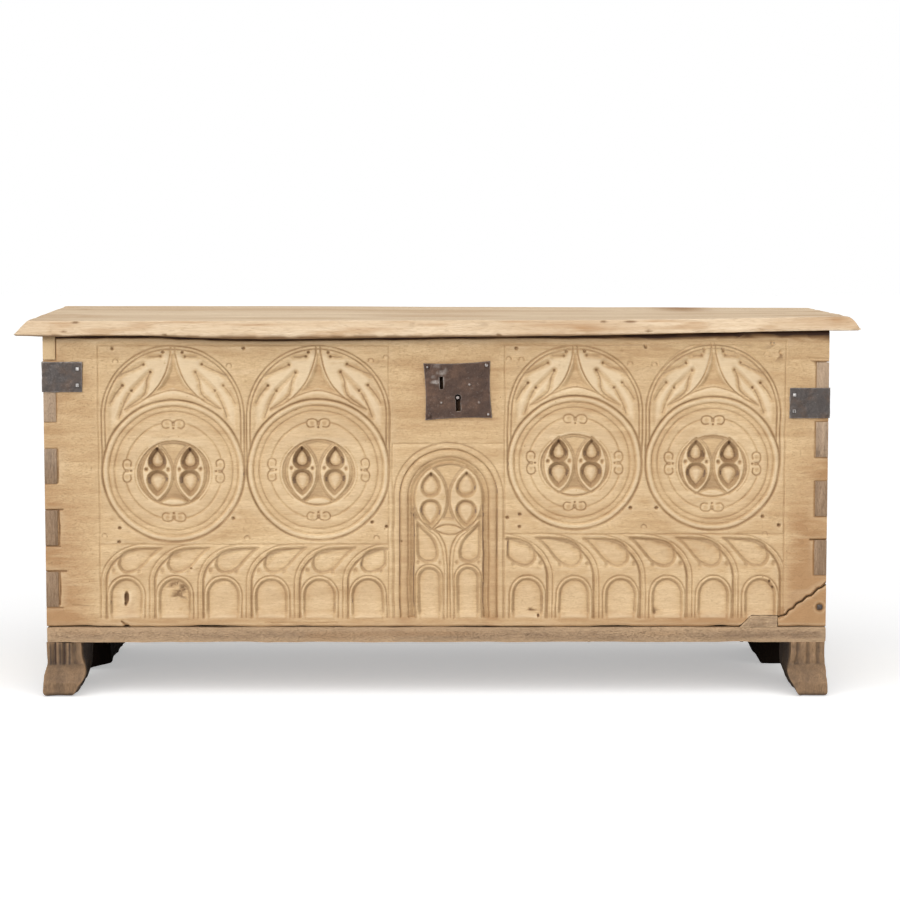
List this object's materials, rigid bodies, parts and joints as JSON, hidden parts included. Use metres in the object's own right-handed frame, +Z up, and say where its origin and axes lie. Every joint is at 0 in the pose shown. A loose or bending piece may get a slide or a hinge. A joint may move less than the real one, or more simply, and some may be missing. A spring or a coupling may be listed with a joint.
{
  "type": "coffer chest",
  "caption": "Dovetailed oak coffer chest with a carved tracery front, a moulded lid on strap hinges, a nailed iron lock plate with a sliding bolt, corner irons and block feet.",
  "frame": {"origin": "on the floor under the middle of the chest's bounding box", "axes": "+X to the right along the front, +Y from the carved front to the back, +Z up"},
  "size_m": [1.608, 0.5742, 0.724],
  "materials": {
    "oak": "dry, bleached and worn",
    "oak_patch": "dry, paler than the board",
    "lock_iron": "brown, rubbed",
    "strap_iron": "dark grey, dull",
    "nail_iron": "dark, rubbed heads"
  },
  "bodies": {
    "case": {"front_board": "oak", "front_corner_piece": "oak", "back_board": "oak", "left_side_board": "oak", "right_side_board": "oak", "bottom_front_plank": "oak", "bottom_rear_plank": "oak", "front_left_foot": "oak", "front_right_foot": "oak", "rear_left_foot": "oak", "rear_right_foot": "oak", "front_rail_patch": "oak_patch", "lock_plate": "lock_iron", "lock_bolt_guides": "lock_iron", "lock_bridge": "lock_iron", "lock_drill_pin": "lock_iron", "lock_spring": "lock_iron", "left_corner_iron": "strap_iron", "right_corner_iron": "strap_iron", "left_hinge_leaf": "strap_iron", "right_hinge_leaf": "strap_iron", "left_hinge_pin": "strap_iron", "right_hinge_pin": "strap_iron", "lock_plate_nails": "nail_iron", "corner_iron_nails": "nail_iron", "hinge_leaf_nails": "nail_iron", "bottom_nails": "nail_iron", "foot_nails": "nail_iron", "corner_piece_nail": "nail_iron"},
    "lid": {"lid_board": "oak", "left_lid_strap": "strap_iron", "right_lid_strap": "strap_iron", "lid_strap_nails": "nail_iron"},
    "lock_bolt": {"lock_bolt": "lock_iron"}
  },
  "joints": [
    {"name": "lid_hinge", "type": "hinge", "parent": "case", "child": "lid", "pos_m": [0, 0.28015, 0.688], "axis": [-1, 0, 0], "range_deg": [0, 105]},
    {"name": "bolt_slide", "type": "slide", "parent": "case", "child": "lock_bolt", "axis": [-1, 0, 0], "range_m": [0, 0.014]}
  ]
}
